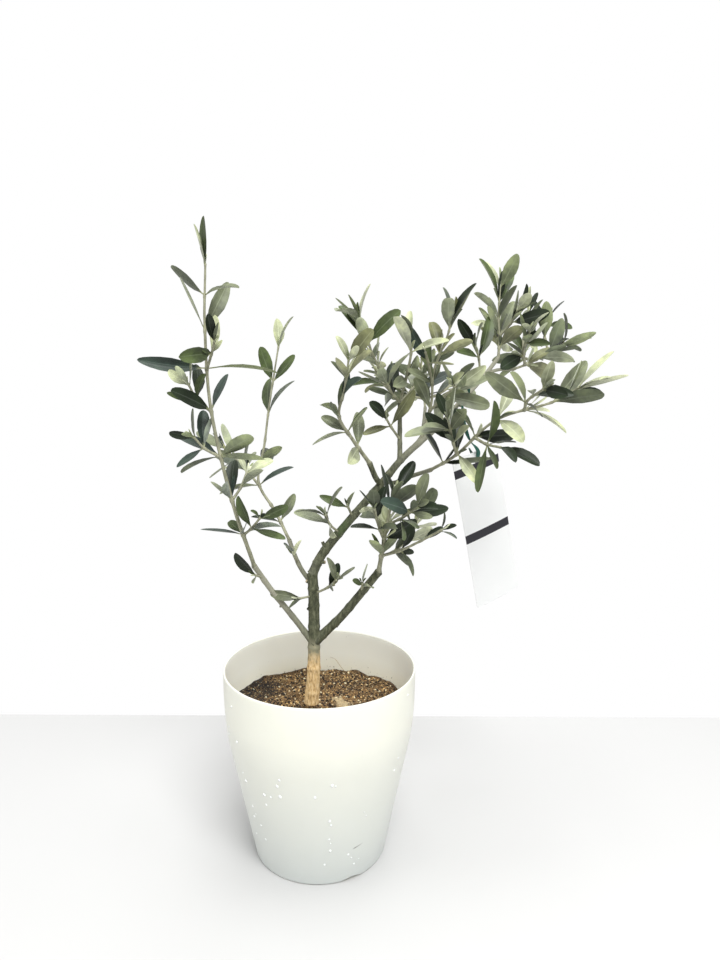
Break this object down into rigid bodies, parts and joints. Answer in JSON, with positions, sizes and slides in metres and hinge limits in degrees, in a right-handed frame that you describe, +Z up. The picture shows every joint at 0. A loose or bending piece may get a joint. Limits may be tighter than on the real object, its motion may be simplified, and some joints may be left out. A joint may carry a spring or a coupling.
{
  "type": "potted olive tree",
  "caption": "Young olive tree with an open, leaning crown of narrow grey-green leaves, standing in a round white tapered nursery pot filled with soil, with a blank hang tag tied to a bough.",
  "frame": {"origin": "centre of the pot's flat underside", "axes": "+Z up along the pot's axis; +Y from the front of the tree to its back; +X to the right seen from the front"},
  "size_m": [0.3434, 0.2292, 0.4843],
  "materials": {
    "pot": "satin, slightly translucent white",
    "soil": "matt and granular",
    "trunk_bark": "fissured, corky bark",
    "young_bark": "smooth grey-green bark",
    "leaves": "matt grey-green, paler below",
    "tag": "satin card",
    "tie": "satin dark green"
  },
  "bodies": {
    "root": {"pot": "pot", "soil": "soil", "trunk": "trunk_bark", "bough_left": "young_bark", "bough_lower_right": "young_bark", "bough_inner_left": "young_bark", "leader": "young_bark", "bough_centre_left": "young_bark", "bough_far_right": "young_bark", "bough_centre": "young_bark", "bough_back": "young_bark", "bough_upper_right": "young_bark", "bough_outer_right": "young_bark", "foliage_left": "leaves", "foliage_inner_left": "leaves", "sprig_leader_low": "leaves", "sprig_leader_high": "leaves", "foliage_centre_left": "leaves", "foliage_centre": "leaves", "sprig_centre": "leaves", "foliage_top_centre": "leaves", "sprig_upper": "leaves", "sprig_upper_left": "leaves", "foliage_right_top": "leaves", "foliage_outer_right": "leaves", "foliage_far_right": "leaves", "foliage_lower_right": "leaves", "foliage_back": "leaves", "sprig_trunk_right": "leaves", "sprig_trunk_left": "leaves", "sprig_lower_right": "leaves", "sprig_left_low": "leaves", "sprig_inner_left": "leaves", "hang_tag": "tag", "tag_tie": "tie"}
  },
  "joints": []
}
